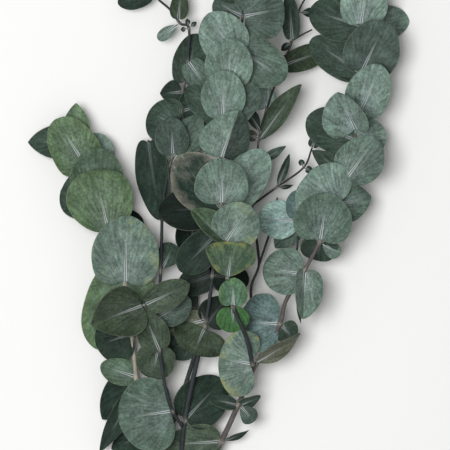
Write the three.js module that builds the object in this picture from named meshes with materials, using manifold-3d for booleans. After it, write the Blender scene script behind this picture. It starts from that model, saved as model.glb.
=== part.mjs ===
import * as THREE from 'three';
import Module from 'manifold-3d';

// A branch of silver dollar eucalyptus that lies on a table, in millimetres, +Z up.
// Places are measured in the view from above: x to the right and y up the branch, both from the
// lower left corner of a view 360 mm square, and z from the table.
const MIDDLE = [174.5, 157.8];

const BLADE_THICKNESS = 0.9;
const NECK_WIDTH = 1.8;
const NECK_LENGTH = 2.5;
const NECK_ROOT = 0.2;
// A leaf at a stem's end is rooted this part of a joint before it
const END_INSET = 0.1;
// A leaf that lifts or drops more than this sits on the stem's upper or lower side
const SIDE_LIFT = 10;
const SEAT = 0.8;
const LARGE_LEAF = 26;
const LARGE_STATIONS = 5;
const SMALL_STATIONS = 4;
const STEM_STEP = 24;
const STEM_SIDES = 6;
const SEED = 20261;

// How much a drawn leaf may differ from its form
const BEND_SPREAD = 0.1;
const CUP_SPREAD = 0.1;

// Ripples along each margin, and how far the right margin's run behind the left one's, in radians
const RIPPLES = 3;
const RIPPLE_SHIFT = 2;
const BREADTH_STEPS = 24;

const TABLE_SIDE = 800;
const TABLE_DEPTH = 40;
const LEAF_ROUGHNESS = 0.75;

// Leaf forms. point and taper sharpen the tip and the base, lobe draws the base back in a heart,
// bend drops the tip, cup lifts the margins, wave ripples them, all as shares of the leaf's size,
// and fold turns the left and the right half up about the midrib, in degrees.
const FORMS = {
  round: { point: 0.12, taper: 0, lobe: 0.35, bend: 0.08, cup: 0.06, wave: 0.05, fold: [4, 4] },
  domed: { point: 0.1, taper: 0, lobe: 0.35, bend: 0.22, cup: -0.2, wave: 0.04, fold: [0, 0] },
  egg: { point: 0.75, taper: 0.1, lobe: 0.25, bend: 0.08, cup: 0.05, wave: 0.05, fold: [6, 6] },
  spoon: { point: 0, taper: 0.75, lobe: 0, bend: 0.08, cup: 0.08, wave: 0.03, fold: [5, 5] },
  lance: { point: 0.9, taper: 0.7, lobe: 0, bend: 0.1, cup: 0.05, wave: 0.08, fold: [10, 10] },
  cupped: { point: 0.2, taper: 0.1, lobe: 0.2, bend: -0.05, cup: 0.35, wave: 0.05, fold: [12, 12] },
  rightUp: { point: 0.3, taper: 0, lobe: 0.4, bend: 0.05, cup: 0.04, wave: 0.05, fold: [2, 62] },
  leftUp: { point: 0.3, taper: 0, lobe: 0.4, bend: 0.05, cup: 0.04, wave: 0.05, fold: [62, 2] },
  rightDown: { point: 0.7, taper: 0, lobe: 0.35, bend: 0.1, cup: 0.04, wave: 0.03, fold: [0, -52] },
  rippled: { point: 0.3, taper: 0.1, lobe: 0.3, bend: 0.12, cup: 0.1, wave: 0.16, fold: [8, 8] },
  fan: { point: -0.15, taper: 0.2, lobe: 0.12, bend: 0.1, cup: 0.06, wave: 0.07, fold: [5, 5] },
  shell: { point: -0.5, taper: 0.3, lobe: 0.05, bend: 0.1, cup: 0.06, wave: 0.1, fold: [5, 5] },
  heart: { point: 0.12, taper: 0, lobe: 0.95, bend: 0.1, cup: 0.06, wave: 0.05, fold: [4, 4] },
};

// Each shoot has stems and leaves. A stem is its radius at both ends and its joints from the foot
// up, and a leaf is its stem, the joint that it grows from, where a part of a joint is on the way
// to the next one, its heading in the view from above, its lift from the table and its roll about
// the midrib in degrees, its length, its width and its form.
const SHOOTS = {
  woody_stem: {
    colour: 0x3c4446,
    stems: {
      foot: [3.7, 3.2, [[157, -88, 3], [156, -66, 3], [152, -44, 6]]],
      right: [2.6, 1.9, [[152, -44, 6], [164, -20, 9], [177, 6, 13], [189, 32, 20], [203, 65, 27]]],
      middle: [2.5, 1.9, [[152, -44, 6], [146, -16, 10], [146, 10, 14], [151, 41, 17], [159, 77, 20]]],
      behind: [2.2, 1.7, [[152, -44, 6], [136, -20, 7], [133, 4, 9], [143, 35, 10], [154, 70, 11]]],
      left: [2.1, 1.8, [[152, -44, 6], [130, -16, 6], [120, 14, 8], [110, 42, 12]]],
    },
    leaves: [
      ['middle', 2.45, 47, -6, 0, 45, 40, 'round'],
      ['right', 2, 183, 4, 0, 50, 30, 'egg'],
      ['right', 2, 18, 0, 55, 24, 8, 'lance'],
      ['right', 3.1, 164, 6, 45, 24, 15, 'round'],
      ['right', 3.1, 22, 8, 50, 20, 15, 'egg'],
      ['right', 3.15, 312, 0, 10, 19, 15, 'spoon'],
      ['left', 2, 205, -7, 0, 36, 24, 'egg'],
    ],
  },
  left_shoot: {
    colour: 0x6c8a64,
    stems: {
      main: [1.8, 0.8, [
        [109.6, 43.1, 12.1], [108.5, 58, 15], [105, 93, 17], [102, 118, 18], [100, 133, 18],
        [87, 173, 17], [78, 200, 15], [64, 235, 14], [56, 258, 13],
      ]],
    },
    leaves: [
      ['main', 7.4, 90, 4, 0, 33, 22, 'egg'],
      ['main', 7.5, 181, -6, 0, 39, 28, 'egg'],
      ['main', 6.9, 122, 20, 0, 40, 40, 'heart'],
      ['main', 6.6, 70, -3, 0, 34, 34, 'round'],
      ['main', 6, 92, 18, 0, 43, 44, 'round'],
      ['main', 6, 166, -23, 0, 35, 40, 'round'],
      ['main', 5.9, 15, -12, 0, 25, 28, 'round'],
      ['main', 5, 103, 18, 0, 54, 53, 'fan'],
      ['main', 5, 22, -8, 0, 30, 30, 'round'],
      ['main', 4, 89, 16, 0, 56, 54, 'round'],
      ['main', 4, 247, -8, 0, 59, 54, 'heart'],
      ['main', 2, 200, -10, 0, 31, 38, 'round'],
      ['main', 1, 162, 5, 0, 30, 22, 'round'],
      ['main', 0.9, 229, -9, 0, 44, 33, 'egg'],
      ['main', 0.5, 240, 4, 0, 60, 18, 'egg'],
    ],
  },
  back_left_shoot: {
    colour: 0x34463f,
    stems: {
      main: [1.5, 0.9, [
        [145, 19.5, 17.5], [138, 31, 25], [133, 47, 31], [128, 77, 35], [126, 102, 34],
        [128, 134, 26], [129, 164, 20], [130, 194, 17], [134, 220, 17], [142, 252, 16],
        [146, 284, 16], [150, 312, 16], [151, 338, 15], [144, 342, 15], [136, 353, 14],
        [128, 360, 13], [120, 368, 12],
      ]],
      over: [1, 0.8, [[126, 102, 34], [120, 110, 40], [115, 117, 44]]],
      under: [0.9, 0.8, [[134, 220, 17], [124, 241, 14], [118, 248, 13]]],
    },
    leaves: [
      ['main', 1, 188, 6, 0, 44, 60, 'round'],
      ['main', 3.3, 259, -20, 0, 31, 32, 'round'],
      ['main', 3.1, 112, 22, 0, 35, 26, 'round'],
      ['over', 2, 200, 8, 12, 45, 42, 'egg'],
      ['over', 2, 24, 2, 10, 40, 24, 'rippled'],
      ['main', 4.15, 28, 0, 0, 30, 26, 'round'],
      ['main', 5.3, 62, -19, 0, 26, 20, 'spoon'],
      ['under', 2, 277, -2, 25, 64, 29, 'round'],
      ['main', 9.2, 152, -6, 0, 28, 38, 'round'],
      ['main', 8.5, 92, 18, 0, 32, 27, 'round'],
      ['main', 8.3, 58, 2, 0, 48, 30, 'egg'],
      ['main', 9.6, 15, -4, 0, 34, 34, 'round'],
      ['main', 10.3, 76, -4, 0, 43, 28, 'round'],
      ['main', 10.1, 184, -5, 0, 19, 20, 'egg'],
      ['main', 11, 305, 18, 0, 29, 20, 'round'],
      ['main', 12, 100, 10, 0, 8, 4, 'lance'],
      ['main', 12, 40, 10, 0, 8, 4, 'lance'],
      ['main', 12, 190, -10, 0, 7, 4, 'lance'],
      ['main', 13.2, 86, 5, 0, 28, 15, 'egg'],
      ['main', 13.05, 217, 0, 0, 22, 10, 'spoon'],
      ['main', 15.8, 196, 0, 0, 29, 18, 'round'],
      ['main', 15.8, 60, 0, 0, 22, 15, 'egg'],
      ['main', 16, 140, 5, 0, 20, 12, 'egg'],
    ],
  },
  middle_shoot: {
    colour: 0x4a5a4c,
    stems: {
      main: [1.8, 1, [[159.1, 77.4, 20.1], [165, 104, 24], [170, 140, 27], [171, 168, 27], [170, 196, 26]]],
    },
    leaves: [
      ['main', 0.8, 246, 14, 0, 24, 46, 'round'],
      ['main', 1, 194, 4, 0, 36, 22, 'egg'],
      ['main', 0.85, 52, -5, 0, 30, 28, 'egg'],
      ['main', 3.1, 226, -3, 0, 39, 30, 'round'],
      ['main', 2, 200, -13, 0, 30, 24, 'round'],
      ['main', 2, 350, -5, 0, 30, 26, 'round'],
      ['main', 3.9, 182, 2, 0, 43, 34, 'round'],
      ['main', 4, 5, -4, 0, 26, 28, 'round'],
      ['main', 4, 120, 6, 0, 35, 30, 'round'],
    ],
  },
  middle_twig: {
    colour: 0x2c3c38,
    stems: {
      main: [1.6, 0.9, [[154.2, 70.4, 11], [158, 90, 11], [157, 112, 11], [157, 140, 12], [153, 160, 12]]],
    },
    leaves: [
      ['main', 1, 205, -3, 0, 28, 28, 'round'],
      ['main', 2, 165, -4, 0, 30, 26, 'round'],
      ['main', 3, 30, -3, 0, 28, 26, 'round'],
      ['main', 4, 89, 0, 0, 33, 28, 'round'],
    ],
  },
  front_shoot: {
    colour: 0x8ba096,
    stems: {
      main: [1.7, 0.9, [
        [202, 68, 31.5], [197, 90, 44], [186, 116, 50], [182, 139, 52], [180, 166, 52],
        [177, 196, 52], [177, 232, 51], [178, 265, 50], [182, 290, 48], [190, 320, 46],
        [194, 346, 44], [194, 366, 42], [195, 384, 40],
      ]],
    },
    leaves: [
      ['main', 0.05, 172, 6, -9, 27, 54, 'heart'],
      ['main', 0.05, 27, 2, 50, 45, 20, 'lance'],
      ['main', 2, 272, -20, 0, 24, 26, 'round'],
      ['main', 1.95, 90, 20, 0, 24, 23, 'round'],
      ['main', 2.95, 82, 25, 0, 31, 40, 'shell'],
      ['main', 4.1, 140, 15, 0, 36, 27, 'leftUp'],
      ['main', 4, 56, 22, 0, 38, 38, 'round'],
      ['main', 5, 88, 20, 0, 38, 44, 'round'],
      ['main', 4.9, 130, -6, 0, 55, 44, 'cupped'],
      ['main', 4.95, 50, -11, 10, 59, 36, 'round'],
      ['main', 6, 72, 20, -12, 42, 46, 'rightDown'],
      ['main', 7, 88, 20, 0, 39, 36, 'round'],
      ['main', 7, 140, 4, 0, 38, 24, 'round'],
      ['main', 7, 42, 2, 0, 38, 30, 'round'],
      ['main', 8, 86, 20, 0, 40, 38, 'round'],
      ['main', 8.8, 124, 14, 0, 41, 38, 'round'],
      ['main', 9, 328, 2, 0, 45, 38, 'round'],
      ['main', 10, 12, 10, 0, 34, 46, 'round'],
      ['main', 10, 152, -8, 0, 27, 24, 'round'],
      ['main', 11, 172, 6, 0, 24, 22, 'round'],
      ['main', 11, 88, 18, 0, 28, 27, 'round'],
      ['main', 12, 118, 10, 0, 20, 14, 'egg'],
      ['main', 12, 58, 10, 0, 18, 13, 'egg'],
    ],
  },
  inner_twig: {
    colour: 0x2a3530,
    stems: {
      main: [1.2, 0.7, [
        [213.8, 88.8, 28], [203, 112, 20], [201, 130, 20], [207, 147, 20], [206, 163, 20],
        [202, 196, 20], [205, 224, 20], [207, 247, 20], [213, 272, 19], [226, 308, 17],
        [234, 328, 16], [239, 351, 12], [246, 365, 10],
      ]],
      right: [0.9, 0.7, [[202, 196, 20], [221, 210, 18], [243, 226, 14], [250, 242, 12]]],
      stub: [0.9, 0.7, [[207, 147, 20], [215, 171, 16], [221, 188, 12], [222, 202, 10]]],
      spur: [0.8, 0.6, [[234, 328, 16], [242, 333, 14], [250, 337, 12]]],
    },
    leaves: [
      ['main', 6.95, 56, 6, -35, 58, 21, 'lance'],
      ['main', 8, 100, 8, 30, 20, 22, 'round'],
      ['main', 7.3, 118, 4, 30, 28, 12, 'lance'],
      ['main', 7.1, 160, 2, 0, 13, 9, 'rippled'],
      ['main', 6.25, 28, 0, 20, 27, 8, 'lance'],
      ['right', 1, 66, 4, 30, 29, 8, 'lance'],
      ['right', 1, 6, 0, 50, 14, 5, 'lance'],
      ['right', 2, 340, 5, 0, 8, 6, 'round'],
      ['right', 2, 110, 5, 0, 7, 5, 'round'],
      ['right', 3, 70, 0, 0, 14, 9, 'egg'],
      ['main', 9, 20, -14, 0, 42, 20, 'round'],
      ['main', 10, 94, 10, 0, 42, 15, 'egg'],
      ['main', 10, 222, 0, 0, 12, 6, 'lance'],
      ['main', 11, 0, -14, 0, 15, 8, 'spoon'],
      ['main', 12, 60, 5, 0, 18, 10, 'egg'],
      ['main', 12, 130, 5, 0, 16, 9, 'egg'],
    ],
  },
  right_shoot: {
    colour: 0x6a8076,
    stems: {
      main: [1.9, 0.9, [
        [203.3, 65.5, 27.1], [215, 86, 29], [224, 101, 31], [229, 120, 31], [242, 141, 32],
        [256, 167, 32], [269, 196, 30], [278, 220, 27], [284, 248, 24], [288, 272, 21],
        [289, 302, 18], [289, 340, 16], [290, 364, 15], [290, 382, 14],
      ]],
      side: [1, 0.8, [[242, 141, 32], [236, 146, 31], [238, 164, 29], [238, 186, 27]]],
    },
    leaves: [
      ['main', 2, 177, -2, 0, 32, 48, 'round'],
      ['main', 2, 312, -10, 0, 19, 20, 'egg'],
      ['main', 4, 172, 4, 0, 32, 38, 'round'],
      ['main', 4.12, 268, 8, 0, 39, 31, 'rightUp'],
      ['main', 4, 262, -6, 60, 40, 9, 'lance'],
      ['side', 1, 112, 8, 0, 18, 9, 'lance'],
      ['side', 3, 178, 2, 0, 32, 31, 'round'],
      ['side', 3, 92, 10, 0, 24, 18, 'round'],
      ['side', 2.9, 232, -15, 0, 30, 22, 'egg'],
      ['main', 5, 262, -38, 0, 21, 30, 'heart'],
      ['main', 5, 325, -12, 0, 20, 13, 'spoon'],
      ['main', 5, 82, 20, 0, 41, 47, 'round'],
      ['main', 6, 128, 22, 0, 34, 50, 'domed'],
      ['main', 6, 14, -11, 0, 30, 32, 'egg'],
      ['main', 6.9, 53, 18, 0, 41, 37, 'round'],
      ['main', 7, 145, -6, 0, 35, 17, 'egg'],
      ['main', 8, 155, -8, 0, 43, 36, 'round'],
      ['main', 8.3, 116, 18, 0, 36, 46, 'rightUp'],
      ['main', 8, 12, -6, 0, 26, 30, 'round'],
      ['main', 8.9, 66, 18, 0, 43, 36, 'round'],
      ['main', 10, 146, -6, 0, 49, 30, 'round'],
      ['main', 9.8, 155, -11, 45, 24, 16, 'egg'],
      ['main', 10, 64, 18, 0, 47, 44, 'round'],
      ['main', 11, 8, -17, 0, 43, 28, 'round'],
      ['main', 11, 82, 18, 0, 39, 38, 'round'],
      ['main', 11, 163, 0, 0, 43, 36, 'round'],
      ['main', 12, 70, 18, 0, 34, 33, 'round'],
      ['main', 12, 165, 5, 0, 26, 24, 'round'],
      ['main', 13, 100, 10, 0, 22, 16, 'egg'],
      ['main', 13, 40, 12, 0, 20, 14, 'egg'],
    ],
  },
};

// Seeded draws, the same on every run
function makeDraw(seed) {
  let state = seed;
  return () => {
    state = (state * 1103515245 + 12345) % 2147483648;
    return state / 2147483648;
  };
}

function radians(degrees) {
  return THREE.MathUtils.degToRad(degrees);
}

const wasm = await Module();
wasm.setup();

function solidOf(positions, triangles) {
  const mesh = new wasm.Mesh({
    numProp: 3,
    vertProperties: new Float32Array(positions),
    triVerts: new Uint32Array(triangles),
  });
  return new wasm.Manifold(mesh);
}

function curveOf(joints) {
  const places = joints.map((place) => new THREE.Vector3(...place));
  return new THREE.CatmullRomCurve3(places, false, 'catmullrom', 0.5);
}

// A tapered stem: rings of points along the curve, closed by a flat cut at both ends
function stemSolid([footRadius, tipRadius, joints]) {
  const curve = curveOf(joints);
  const rings = Math.max(joints.length - 1, Math.round(curve.getLength() / STEM_STEP));
  const positions = [];
  const triangles = [];
  for (let ring = 0; ring <= rings; ring += 1) {
    const share = ring / rings;
    const centre = curve.getPoint(share);
    const along = curve.getTangent(share);
    const side = new THREE.Vector3(along.y, -along.x, 0).normalize();
    const up = new THREE.Vector3().crossVectors(side, along);
    const radius = THREE.MathUtils.lerp(footRadius, tipRadius, share);
    for (let corner = 0; corner < STEM_SIDES; corner += 1) {
      const turn = ((corner + 0.5) / STEM_SIDES) * Math.PI * 2;
      const point = centre.clone()
        .addScaledVector(side, radius * Math.cos(turn))
        .addScaledVector(up, radius * Math.sin(turn));
      positions.push(point.x, point.y, point.z);
      const here = ring * STEM_SIDES + corner;
      const next = ring * STEM_SIDES + ((corner + 1) % STEM_SIDES);
      if (ring < rings) {
        triangles.push(here, here + STEM_SIDES, next, next, here + STEM_SIDES, next + STEM_SIDES);
      }
      if (corner > 0 && corner < STEM_SIDES - 1) {
        const last = rings * STEM_SIDES;
        if (ring === 0) triangles.push(0, corner, corner + 1);
        if (ring === rings) triangles.push(last, last + corner + 1, last + corner);
      }
    }
  }
  return solidOf(positions, triangles);
}

// The share of the full half width that the outline has at an angle from the base (0) to the tip
function breadth(form, angle) {
  const tip = Math.max(Math.cos(angle / 2), 1e-6) ** form.point;
  const base = Math.sin(angle / 2) ** form.taper;
  return Math.sin(angle) * tip * base;
}

function fullBreadth(form) {
  let most = 0;
  for (let step = 1; step < BREADTH_STEPS; step += 1) {
    most = Math.max(most, breadth(form, (step / BREADTH_STEPS) * Math.PI));
  }
  return most;
}

// A point of the blade in its own frame, x along the midrib and z out of its upper face. across
// runs from -1 on the right margin to 1 on the left one, and face lifts it off the middle.
function bladePoint(leaf, angle, across, face) {
  const { form } = leaf;
  const half = leaf.width / 2;
  const along = (1 - Math.cos(angle)) / 2;
  const back = form.lobe * Math.sin(angle) * (1 - angle / Math.PI) ** 2 * Math.abs(across);
  const out = (Math.abs(across) * half * breadth(form, angle)) / leaf.breadth;
  const shift = leaf.phase + (across > 0 ? 0 : RIPPLE_SHIFT);
  const ripple = Math.sin(RIPPLES * angle + shift) * across * across;
  const rise = (leaf.cup * out * out) / half + form.wave * half * ripple
    - leaf.bend * leaf.length * along * along;
  const turn = across === 0 ? 0 : radians(across > 0 ? form.fold[0] : form.fold[1]);
  const side = Math.sign(across);
  const high = rise + face;
  return new THREE.Vector3(
    NECK_LENGTH + leaf.length * (along - back),
    side * (out * Math.cos(turn) - face * Math.sin(turn)),
    out * Math.sin(turn) + (side === 0 ? high : rise + face * Math.cos(turn)),
  );
}

// One blade: a waved sheet with the same triangles on both faces, closed by a wall at its rim
function bladeSolid(leaf, place) {
  const large = Math.max(leaf.length, leaf.width) > LARGE_LEAF;
  const stations = large ? LARGE_STATIONS : SMALL_STATIONS;
  const faces = [BLADE_THICKNESS / 2, -BLADE_THICKNESS / 2].map((face) => {
    const points = [
      new THREE.Vector3(NECK_ROOT, NECK_WIDTH / 2, face),
      new THREE.Vector3(NECK_ROOT, -NECK_WIDTH / 2, face),
    ];
    for (let station = 1; station < stations; station += 1) {
      const angle = (station / stations) * Math.PI;
      points.push(...[1, 0, -1].map((across) => bladePoint(leaf, angle, across, face)));
    }
    points.push(bladePoint(leaf, Math.PI, 0, face));
    return points;
  });
  const sheet = [[0, 1, 3], [0, 3, 2], [1, 4, 3]];
  for (let left = 2; left < 3 * stations - 4; left += 3) {
    sheet.push([left, left + 1, left + 4], [left, left + 4, left + 3]);
    sheet.push([left + 1, left + 2, left + 5], [left + 1, left + 5, left + 4]);
  }
  const tip = 3 * stations - 1;
  sheet.push([tip - 3, tip - 2, tip], [tip - 2, tip - 1, tip]);
  const rim = [0];
  for (let left = 2; left < tip; left += 3) rim.push(left);
  rim.push(tip);
  for (let right = tip - 1; right > 1; right -= 3) rim.push(right);
  rim.push(1);
  const under = tip + 1;
  const triangles = [];
  sheet.forEach(([a, b, c]) => triangles.push(a, b, c, a + under, c + under, b + under));
  rim.forEach((from, index) => {
    const to = rim[(index + 1) % rim.length];
    triangles.push(from, to, to + under, from, to + under, from + under);
  });
  const positions = faces.flat().flatMap((point) => point.applyMatrix4(place).toArray());
  return solidOf(positions, triangles);
}

// The frame of a leaf: its midrib along heading and lift, rolled about itself
function leafPlace(base, heading, lift, roll) {
  const turn = new THREE.Euler(radians(roll), -radians(lift), radians(heading), 'ZYX');
  return new THREE.Matrix4().makeRotationFromEuler(turn).setPosition(base);
}

function leafSolid(shoot, draw, [stemName, joint, heading, lift, roll, length, width, formName]) {
  const [footRadius, tipRadius, joints] = shoot.stems[stemName];
  const last = joints.length - 1;
  const share = Math.min(joint, last - END_INSET) / last;
  const base = curveOf(joints).getPoint(share);
  if (Math.abs(lift) > SIDE_LIFT) {
    base.z += Math.sign(lift) * SEAT * THREE.MathUtils.lerp(footRadius, tipRadius, share);
  }
  const form = FORMS[formName];
  const leaf = {
    form,
    length: length - NECK_LENGTH,
    width,
    breadth: fullBreadth(form),
    bend: form.bend + BEND_SPREAD * (draw() - 0.5),
    cup: form.cup + CUP_SPREAD * (draw() - 0.5),
    phase: Math.PI * 2 * draw(),
  };
  return bladeSolid(leaf, leafPlace(base, heading, lift, roll));
}

// Everything under the table's surface is pressed away, which leaves small flat spots
function tableSolid() {
  const table = new THREE.BoxGeometry(TABLE_SIDE, TABLE_SIDE, TABLE_DEPTH);
  table.translate(MIDDLE[0], MIDDLE[1], -TABLE_DEPTH / 2);
  const corners = Array.from(table.getAttribute('position').array);
  const places = new Map();
  const merged = [];
  const index = Array.from(table.index.array).map((corner) => {
    const key = corners.slice(corner * 3, corner * 3 + 3).join();
    if (!places.has(key)) {
      places.set(key, merged.length / 3);
      merged.push(...corners.slice(corner * 3, corner * 3 + 3));
    }
    return places.get(key);
  });
  return solidOf(merged, index);
}

// The largest body of a solid, without the loose scraps or sealed hollows that fusing can leave
function mainBody(solid) {
  return solid.decompose().reduce((best, body) => (body.volume() > best.volume() ? body : best));
}

function shootMesh(name, shoot, draw, table) {
  let solid = null;
  Object.values(shoot.stems).forEach((stem) => {
    solid = solid ? solid.add(stemSolid(stem)) : stemSolid(stem);
  });
  shoot.leaves.forEach((row) => {
    solid = solid.add(leafSolid(shoot, draw, row));
  });
  const { vertProperties, triVerts } = mainBody(solid.subtract(table)).getMesh();
  const geometry = new THREE.BufferGeometry();
  geometry.setAttribute('position', new THREE.BufferAttribute(vertProperties, 3));
  geometry.setIndex(new THREE.BufferAttribute(triVerts, 1));
  geometry.computeVertexNormals();
  const material = new THREE.MeshStandardMaterial({
    color: shoot.colour, roughness: LEAF_ROUGHNESS, metalness: 0, flatShading: true,
  });
  const mesh = new THREE.Mesh(geometry, material);
  mesh.name = name;
  return mesh;
}

const branch = new THREE.Group();
branch.name = 'eucalyptus_branch';
const laid = new THREE.Group();
laid.position.set(-MIDDLE[0], -MIDDLE[1], 0);
branch.add(laid);
const draw = makeDraw(SEED);
const table = tableSolid();
Object.entries(SHOOTS).forEach(([name, shoot]) => laid.add(shootMesh(name, shoot, draw, table)));

export default branch;
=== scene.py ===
"""A cut branch of silver dollar eucalyptus that lies on a pale table, seen from straight above.

Places in the tables are millimetres in the view from above: x to the right and y up the branch, both
from the lower left corner of a view 360 mm square, and z from the table. Blender's own unit is a metre.
"""
import logging
import math
from collections.abc import Sequence
from dataclasses import dataclass, field
from enum import Enum
from typing import Any

import bmesh
import bpy
from mathutils import Euler, Matrix, Vector, noise


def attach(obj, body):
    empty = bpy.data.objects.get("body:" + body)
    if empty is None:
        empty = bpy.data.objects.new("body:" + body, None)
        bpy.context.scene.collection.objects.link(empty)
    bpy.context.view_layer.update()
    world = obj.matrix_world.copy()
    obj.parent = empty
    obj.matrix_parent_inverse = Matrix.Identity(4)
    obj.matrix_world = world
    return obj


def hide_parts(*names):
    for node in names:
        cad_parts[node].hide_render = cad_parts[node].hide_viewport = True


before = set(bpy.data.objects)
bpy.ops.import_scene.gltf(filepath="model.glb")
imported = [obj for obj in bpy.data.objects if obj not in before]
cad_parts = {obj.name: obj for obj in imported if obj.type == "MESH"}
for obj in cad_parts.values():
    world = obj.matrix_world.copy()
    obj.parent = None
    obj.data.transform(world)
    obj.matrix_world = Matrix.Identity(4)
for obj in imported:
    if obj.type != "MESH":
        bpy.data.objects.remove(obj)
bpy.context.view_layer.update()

log = logging.getLogger("eucalyptus_branch")

MM = 0.001
MIDDLE = Vector((174.5, 157.8, 0.0))
VIEW_SIDE = 360.0
VIEW_HEIGHT = 30.0
SEED = 20261
PRESS_FROM = 1.2
PRESS_TO = 0.05
FORK = (152, -44, 6)
TINY = 1e-6
Colour = tuple[float, float, float, float]


def linear(code: int) -> Colour:
    """Turns a colour code as shown on a screen into linear light.

    Args:
        code: red, green and blue as one hexadecimal number.

    Returns:
        The colour in linear light, with an alpha of one.
    """
    shares = [((code >> shift) & 255) / 255 for shift in (16, 8, 0)]
    light = [s / 12.92 if s <= 0.04045 else ((s + 0.055) / 1.055) ** 2.4 for s in shares]
    return (light[0], light[1], light[2], 1.0)


def scaled(colour: Colour, light: float) -> Colour:
    """Makes a colour lighter or darker and keeps its alpha at one."""
    return (colour[0] * light, colour[1] * light, colour[2] * light, 1.0)


def pressed(height: float) -> float:
    """Returns a height in millimetres eased up off the table where it would come close to it or pass it."""
    if height >= PRESS_FROM:
        return height
    span = PRESS_FROM - PRESS_TO
    return PRESS_TO + span * math.exp((height - PRESS_FROM) / span)


class Draws:
    """Seeded draws, the same on every run."""

    LIMIT = 2147483648.0
    STEP = 1103515245.0
    SHIFT = 12345.0

    def __init__(self, seed: int) -> None:
        """Starts the draws from a seed."""
        self.state = float(seed)

    def next(self) -> float:
        """Returns the next draw, from 0 up to 1."""
        self.state = math.fmod(self.state * self.STEP + self.SHIFT, self.LIMIT)
        return self.state / self.LIMIT

    def spread(self, width: float) -> float:
        """Returns a draw spread evenly about zero over the given width."""
        return width * (self.next() - 0.5)


@dataclass(frozen=True)
class BladeForm:
    """How a blade departs from a flat oval.

    point and taper sharpen the tip and the base, and a negative point broadens the tip. lobe draws
    the base back in a heart, bend drops the tip, cup lifts the margins and wave ripples them, all as
    shares of the leaf's size. fold turns the left and the right half up about the midrib, in degrees.
    """

    point: float
    taper: float
    lobe: float
    bend: float
    cup: float
    wave: float
    fold: tuple[float, float]

    def breadth(self, angle: float) -> float:
        """Returns the outline's unscaled half width at an angle from the base (0) to the tip (pi)."""
        tip = max(math.cos(angle / 2), TINY) ** self.point
        base = math.sin(angle / 2) ** self.taper
        return math.sin(angle) * tip * base

    def full_breadth(self) -> float:
        """Returns the greatest unscaled half width."""
        steps = 24
        return max(self.breadth(step / steps * math.pi) for step in range(1, steps))


class Form(Enum):
    """The blade forms that this branch has."""

    ROUND = BladeForm(0.12, 0, 0.35, 0.08, 0.06, 0.05, (4, 4))
    DOMED = BladeForm(0.1, 0, 0.35, 0.22, -0.2, 0.04, (0, 0))
    EGG = BladeForm(0.75, 0.1, 0.25, 0.08, 0.05, 0.05, (6, 6))
    SPOON = BladeForm(0, 0.75, 0, 0.08, 0.08, 0.03, (5, 5))
    LANCE = BladeForm(0.9, 0.7, 0, 0.1, 0.05, 0.08, (10, 10))
    CUPPED = BladeForm(0.2, 0.1, 0.2, -0.05, 0.35, 0.05, (12, 12))
    RIGHT_UP = BladeForm(0.3, 0, 0.4, 0.05, 0.04, 0.05, (2, 62))
    LEFT_UP = BladeForm(0.3, 0, 0.4, 0.05, 0.04, 0.05, (62, 2))
    RIGHT_DOWN = BladeForm(0.7, 0, 0.35, 0.1, 0.04, 0.03, (0, -52))
    RIPPLED = BladeForm(0.3, 0.1, 0.3, 0.12, 0.1, 0.16, (8, 8))
    FAN = BladeForm(-0.15, 0.2, 0.12, 0.1, 0.06, 0.07, (5, 5))
    SHELL = BladeForm(-0.5, 0.3, 0.05, 0.1, 0.06, 0.1, (5, 5))
    HEART = BladeForm(0.12, 0, 0.95, 0.1, 0.06, 0.05, (4, 4))


ROUND, DOMED, EGG, SPOON = Form.ROUND, Form.DOMED, Form.EGG, Form.SPOON
LANCE, FAN, HEART, SHELL = Form.LANCE, Form.FAN, Form.HEART, Form.SHELL


@dataclass(frozen=True)
class LeafTone:
    """A leaf's colours: its body, the paler heart about the midrib's foot, and the margin, which in most
    tones is darker: partly the leaf's own colour and partly painted shade where the curved margin turns
    from the light.
    """

    body: int
    heart: int
    rim: int


class Tone(Enum):
    """The leaf colours on this branch. SHADE, DARK, BLACK and VIOLET are partly the leaves' own dark green
    and partly painted shade, for leaves that lie deep among the others.
    """

    BRIGHT = LeafTone(0x778B81, 0x90A0A2, 0x6C8376)
    PALE = LeafTone(0x6A7D72, 0x84938F, 0x60766A)
    BLUE = LeafTone(0x8DA8A0, 0x9BB0B0, 0x87A29A)
    GREY = LeafTone(0x586A5F, 0x6F7F7C, 0x506457)
    DUSK = LeafTone(0x4C5B53, 0x5F6D6A, 0x45564C)
    SLATE = LeafTone(0x5D7370, 0x7A8A8E, 0x586E69)
    GREEN = LeafTone(0x5E735A, 0x748579, 0x58704E)
    LEAFY = LeafTone(0x566A59, 0x6C7C75, 0x50664F)
    MOSS = LeafTone(0x4A5E4B, 0x5E7061, 0x4A5C42)
    FRESH = LeafTone(0x56745C, 0x6E8A7A, 0x56774C)
    VIVID = LeafTone(0x446B42, 0x4C704A, 0x487340)
    OLIVE = LeafTone(0x485748, 0x586458, 0x434F3E)
    # Partly painted shade: SHADE, DARK, BLACK and VIOLET are darker than the leaves' own green, for leaves
    # deep among the others.
    SHADE = LeafTone(0x384535, 0x485248, 0x333F2F)
    FOREST = LeafTone(0x3A4A40, 0x4C5953, 0x34453A)
    DARK = LeafTone(0x28382F, 0x37443F, 0x24342A)
    BLACK = LeafTone(0x121F19, 0x1C2824, 0x101C16)
    BROWN = LeafTone(0x5E6354, 0x6C7066, 0x646A58)
    VIOLET = LeafTone(0x232D27, 0x303836, 0x212A25)
    # Painted shade: a dark body for the inside of the cupped leaf; the pale beige margin stands for its
    # curled underside.
    SHADED_HOLLOW = LeafTone(0x32423A, 0x303E36, 0x8E8C80)


class Bark(Enum):
    """The colours of the stems, as shown on a screen."""

    DARK = 0x2D3234
    GREY_BROWN = 0x5A5552
    CREAM = 0xA8A292
    TWIG = 0x34322F


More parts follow.
